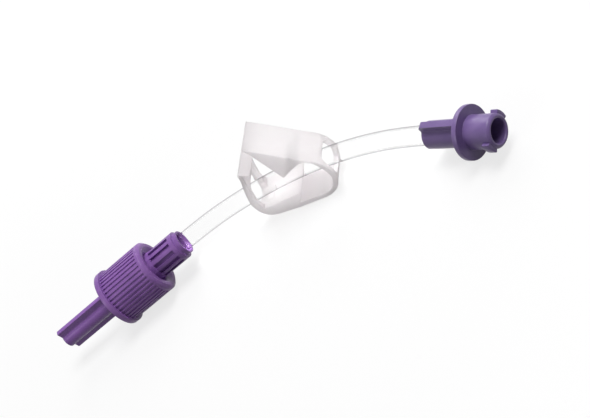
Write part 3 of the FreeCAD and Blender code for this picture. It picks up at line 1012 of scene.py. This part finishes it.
@dataclass
class PinchClamp:
    """One-piece pinch clamp: sole, jaw, latch wall, round bend and pressing lever.

    Attributes are in millimetres, in the clamp's own frame: along the tube, across it and up from its axis. A slot
    is its start, its end, its depth below the jaw and its top. The lists of corners follow the outline, and edges
    sharper than the crease, in degrees, are rounded.
    """

    place: Place = (6.27, 9.53, 6.45)
    turn: float = 0.5
    width: float = 8.4
    wall: float = 1.1
    bend_radius: float = 5.85
    bend_centre: Corner = (6.6, -0.60)
    bend_end: float = 10.0
    slot_half: float = 3.05
    latch_slot: tuple[float, ...] = (-11.0, -5.0, 0.15, 4.5)
    bend_slot: tuple[float, ...] = (8.6, 14.0, 0.4, 2.45)
    jaw: float = -2.25
    jaw_start: float = -7.35
    jaw_end: float = 3.0
    jaw_root: Corner = (0.50, -4.85)
    foot: tuple[Corner, ...] = ((-0.40, -6.10), (-5.60, -5.46), (-6.50, -5.26), (-7.30, -4.93), (-7.98, -4.46),
                                (-8.50, -3.86), (-8.88, -3.15), (-9.08, -2.40), (-9.15, -1.60))
    wall_outer: tuple[Corner, ...] = ((-9.20, -0.50), (-9.12, 0.50), (-7.90, 3.50), (-6.00, 7.30), (-5.20, 9.40))
    catch: tuple[Corner, ...] = ((-3.00, 7.78), (-4.45, 8.32))
    wall_inner: tuple[Corner, ...] = ((-4.90, 7.00), (-6.40, 3.30), (-7.40, 0.50))
    lever: tuple[Corner, ...] = ((10.45, 3.60), (9.40, 4.75), (7.80, 5.05), (5.70, 4.50), (2.60, 3.40),
                                 (1.30, 13.00), (0.75, 15.00), (8.90, 6.10), (11.20, 3.75))
    hinge: Corner = (11.550, 1.847)
    strap: float = 1.55
    slot_corner: float = 1.3
    rounding: float = 0.2
    crease: float = 24.0
    split_height: float = -2.1
    wall_reach: float = -2.0
    seam: float = 0.004
    flex_rows: tuple[float, ...] = (0.9, 1.3, 1.7, 2.1, 2.5, 2.9)

    def frame(self) -> Matrix:
        """Matrix from the clamp's own frame to the row's frame."""
        return Matrix.Translation(Vector(self.place) * MM) @ Matrix.Rotation(math.radians(self.turn), 4, "Z")

    def arc(self, radius: float, first: float, last: float, steps: int = 22) -> list[Corner]:
        """Points on a circle about the bend's centre, from one angle to another, in degrees."""
        angles = [math.radians(first + (last - first) * step / steps) for step in range(steps + 1)]
        across, up = self.bend_centre
        return [(across + radius * math.cos(angle), up + radius * math.sin(angle)) for angle in angles]

    def outline(self) -> list[Corner]:
        """Closed outline of the moulding, along the tube and up."""
        angle = math.radians(self.bend_end)
        rise = (-math.sin(angle) * self.strap, math.cos(angle) * self.strap)
        inner_run = self.arc(self.bend_radius - self.wall, self.bend_end, -90)[::-1]
        outer_run = self.arc(self.bend_radius, -90, self.bend_end)[::-1]
        inner_top = (inner_run[-1][0] + rise[0], inner_run[-1][1] + rise[1])
        outer_top = (outer_run[0][0] + rise[0], outer_run[0][1] + rise[1])
        jaw = ((self.jaw_start, self.jaw), (self.jaw_end, self.jaw), self.jaw_root)
        return [*self.wall_inner, *jaw, *inner_run, inner_top, *self.lever, outer_top, *outer_run, *self.foot,
                *self.wall_outer, *self.catch]

    def cutter(self, near: float, far: float, low: float, high: float) -> Object:
        """Bar along the tube with rounded corners, to cut a slot with.

        Args:
            near: start along the tube.
            far: end along the tube.
            low: bottom of the slot.
            high: top of the slot.

        Returns:
            A linked object that is removed once it has cut.
        """
        bm = bmesh.new()
        bmesh.ops.create_cube(bm, size=1.0)
        bmesh.ops.scale(bm, vec=Vector((far - near, 2 * self.slot_half, high - low)) * MM, verts=bm.verts[:])
        bmesh.ops.translate(bm, vec=Vector(((near + far) / 2, 0.0, (low + high) / 2)) * MM, verts=bm.verts[:])
        corners = [edge for edge in bm.edges if abs(edge.verts[0].co.x - edge.verts[1].co.x) > MM / 2]
        round_edges(bm, corners, self.slot_corner * MM, 6)
        return shaped("cutter", bm)

    def solid(self) -> BMesh:
        """Outline drawn out to the clamp's width, with both slots cut and every edge rounded."""
        bm = bmesh.new()
        verts = [bm.verts.new(Vector((along, -self.width / 2, up)) * MM) for along, up in self.outline()]
        face = bm.faces.new(verts)
        grown = bmesh.ops.extrude_face_region(bm, geom=[face])["geom"]
        moved = [item for item in grown if isinstance(item, BMVert)]
        bmesh.ops.translate(bm, verts=moved, vec=(0, self.width * MM, 0))
        tidy(bm)
        blank = shaped("clamp_blank", bm)
        bars = [self.cutter(near, far, self.jaw - drop, top) for near, far, drop, top in (
            self.latch_slot, self.bend_slot)]
        for bar in bars:
            cut = blank.modifiers.new("slot", "BOOLEAN")
            cut.operation = "DIFFERENCE"
            cut.solver = "EXACT"
            cut.object = bar
        slotted = evaluated(blank)
        for used in [blank, *bars]:
            bpy.data.objects.remove(used)
        bm = bmesh.new()
        bm.from_mesh(slotted)
        bpy.data.meshes.remove(slotted)
        tidy(bm)
        bmesh.ops.dissolve_limit(bm, angle_limit=math.radians(0.5), verts=bm.verts[:], edges=bm.edges[:])
        crease = math.radians(self.crease)
        sharp = [edge for edge in bm.edges if edge.is_manifold and edge.calc_face_angle(0.0) > crease]
        round_edges(bm, sharp, self.rounding * MM, 3)
        bmesh.ops.triangulate(bm, faces=[face for face in bm.faces if len(face.verts) > 4])
        for up in (self.split_height, *self.flex_rows):
            bmesh.ops.bisect_plane(bm, geom=bm.verts[:] + bm.edges[:] + bm.faces[:], dist=MERGE,
                                   plane_co=(0, 0, up * MM), plane_no=(0, 0, 1))
        return bm

    def half(self, wall: bool) -> BMesh:
        """Latch wall alone, or all the rest.

        Args:
            wall: keeps the latch wall.

        Returns:
            A closed mesh that ends on the split between the two.
        """
        bm = self.solid()
        height = self.split_height * MM
        reach = self.wall_reach * MM
        inside = {vert: vert.co.x < reach and vert.co.z > height - MERGE for vert in bm.verts}
        if wall:
            drop = [vert for vert, there in inside.items() if not there]
        else:
            drop = [vert for vert, there in inside.items() if there and vert.co.z > height + MERGE]
        bmesh.ops.delete(bm, geom=drop, context="VERTS")
        rim = [edge for edge in bm.edges if edge.is_boundary]
        if wall:
            ends = list({vert for edge in rim for vert in edge.verts})
            bmesh.ops.translate(bm, verts=ends, vec=(0, 0, self.seam * MM))
        bmesh.ops.holes_fill(bm, edges=rim, sides=0)
        bmesh.ops.recalc_face_normals(bm, faces=bm.faces[:])
        return bm

    def build(self) -> list[Object]:
        """Latch wall, and the rest of the clamp."""
        wall = finished("clamp_latch", [self.half(True)], self.frame())
        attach(wall, "clamp")
        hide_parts("clamp_latch_wall")
        dress(wall, MILKY)
        shell = finished("clamp_shell", [self.half(False)], self.frame())
        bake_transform(shell)
        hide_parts("clamp_base", "clamp_lever")
        dress(shell, MILKY)
        return [wall, shell]


# -------- studio


@dataclass(frozen=True)
class Camera:
    """Camera that looks down on the line from the front right, turned on its side.

    Attributes:
        place: where it stands, in metres.
        right: direction to the right of its view.
        up: upward direction of its view.
        back: direction from the view towards the camera.
        lens: focal length, in millimetres.
        sensor: width of the sensor, in millimetres.
        near: nearest distance that it shows, in metres.
        far: farthest distance that it shows, in metres.
    """

    place: Place = (0.118273, -0.125590, 0.123459)
    right: Place = (0.77579, 0.08750, -0.62489)
    up: Place = (0.33420, 0.78305, 0.52454)
    back: Place = (0.53522, -0.61577, 0.57824)
    lens: float = 59.73
    sensor: float = 36.0
    near: float = 0.005
    far: float = 20.0

    def build(self) -> None:
        """Camera with its view set from its three directions."""
        data = bpy.data.cameras.new("camera")
        data.lens = self.lens
        data.sensor_width = self.sensor
        data.clip_start = self.near
        data.clip_end = self.far
        eye = linked("camera", data)
        turn = Matrix((self.right, self.up, self.back)).transposed()
        eye.matrix_world = Matrix.Translation(self.place) @ turn.to_4x4()
        bpy.context.scene.camera = eye


@dataclass(frozen=True)
class Softbox:
    """Square lamp aimed at the line.

    Attributes:
        name: name of the lamp.
        place: where it stands, in metres.
        size: side of the square, in metres.
        power: power, in watts.
    """

    name: str
    place: Place
    size: float
    power: float

    def build(self) -> None:
        """Lamp that faces the middle of the line."""
        data = bpy.data.lights.new(self.name, "AREA")
        data.shape = "SQUARE"
        data.size = self.size
        data.energy = self.power
        lamp = linked(self.name, data)
        place = Vector(self.place)
        lamp.matrix_world = Matrix.Translation(place) @ (-place).to_track_quat("-Z", "Y").to_matrix().to_4x4()


@dataclass
class Studio:
    """Pale floor, soft lamps and an even world that looks white.

    Attributes:
        floor_colour: level of the floor's grey, which takes the lamps' light and the shadows.
        glow: share of the floor's look that is always there, under the lamps.
        lamp_reach: distances in metres between which the glow takes over from the lamps.
        ambient: strength of the world as a light.
        floor_half: half the side of the floor, in metres.
        floor_drop: how far the floor lies under the line, in metres.
        lamps: the soft lamps.
    """

    floor_colour: float = 0.20
    glow: float = 0.755
    lamp_reach: tuple[float, float] = (0.06, 0.65)
    ambient: float = 0.18
    floor_half: float = 3.0
    floor_drop: float = 2e-5
    lamps: tuple[Softbox, ...] = (
        Softbox("key", (0.15, 0.09, 0.45), 0.24, 2.0),
        Softbox("rim", (-0.04, 0.37, 0.31), 0.30, 0.8),
        Softbox("glint", (-0.24, -0.34, 0.28), 0.16, 0.36),
    )

    def seen(self, tree: NodeTree) -> NodeSocket:
        """1 for what is seen directly, mirrored or through clear material, and 0 for light."""
        rays = tree.nodes.new("ShaderNodeLightPath")
        value = rays.outputs["Is Camera Ray"]
        for name in ("Is Glossy Ray", "Is Transmission Ray"):
            most = tree.nodes.new("ShaderNodeMath")
            most.operation = "MAXIMUM"
            tree.links.new(value, most.inputs[0])
            tree.links.new(rays.outputs[name], most.inputs[1])
            value = most.outputs["Value"]
        return value

    def floor(self) -> None:
        """Pale floor that keeps the line's shadow."""
        bm = bmesh.new()
        bmesh.ops.create_grid(bm, x_segments=1, y_segments=1, size=self.floor_half)
        bmesh.ops.translate(bm, verts=bm.verts[:], vec=(0, 0, -self.floor_drop))
        floor = shaped("floor", bm)
        graph = Graph("pale_floor")
        graph.tree.nodes.remove(graph.shader)
        plain = graph.add("ShaderNodeBsdfDiffuse", Color=(self.floor_colour,) * 3 + (1.0,))
        place = graph.add("ShaderNodeNewGeometry")
        reach = graph.add("ShaderNodeVectorMath")
        reach.operation = "LENGTH"
        graph.link(place.outputs["Position"], reach.inputs[0])
        near, far = self.lamp_reach
        level = graph.add("ShaderNodeMapRange", From_Min=near, From_Max=far, To_Min=self.glow)
        graph.link(reach.outputs["Value"], level.inputs["Value"])
        glow = graph.add("ShaderNodeEmission", Color=(1.0, 1.0, 1.0, 1.0))
        graph.link(level.outputs["Result"], glow.inputs["Strength"])
        both = graph.add("ShaderNodeAddShader")
        graph.link(plain.outputs["BSDF"], both.inputs[0])
        graph.link(glow.outputs["Emission"], both.inputs[1])
        graph.surface(self.seen(graph.tree), plain.outputs["BSDF"], both.outputs["Shader"])
        floor.data.materials.append(graph.material)

    def world(self) -> None:
        """World that is white to the eye and lights the line at its ambient strength."""
        world = bpy.data.worlds.new("studio")
        world.use_nodes = True
        tree = world.node_tree
        back = tree.nodes["Background"]
        back.inputs["Color"].default_value = (1.0, 1.0, 1.0, 1.0)
        level = tree.nodes.new("ShaderNodeMapRange")
        level.inputs["To Min"].default_value = self.ambient
        level.inputs["To Max"].default_value = 1.0
        tree.links.new(self.seen(tree), level.inputs["Value"])
        tree.links.new(level.outputs["Result"], back.inputs["Strength"])
        bpy.context.scene.world = world

    def build(self) -> None:
        """Floor, world, lamps and camera."""
        bpy.context.scene.view_settings.view_transform = "Standard"
        self.floor()
        self.world()
        for lamp in self.lamps:
            lamp.build()
        Camera().build()


def main() -> None:
    """Build, dress and light the line."""
    logging.basicConfig(level=logging.INFO, format="%(name)s: %(message)s")
    Studio().build()
    route = Route()
    Tube(route).build()
    MaleConnector(route).build()
    RotatingCollar(route).build()
    TipCap(route).build()
    SocketConnector(route).build()
    PinchClamp().build()


if __name__ == "__main__":
    main()
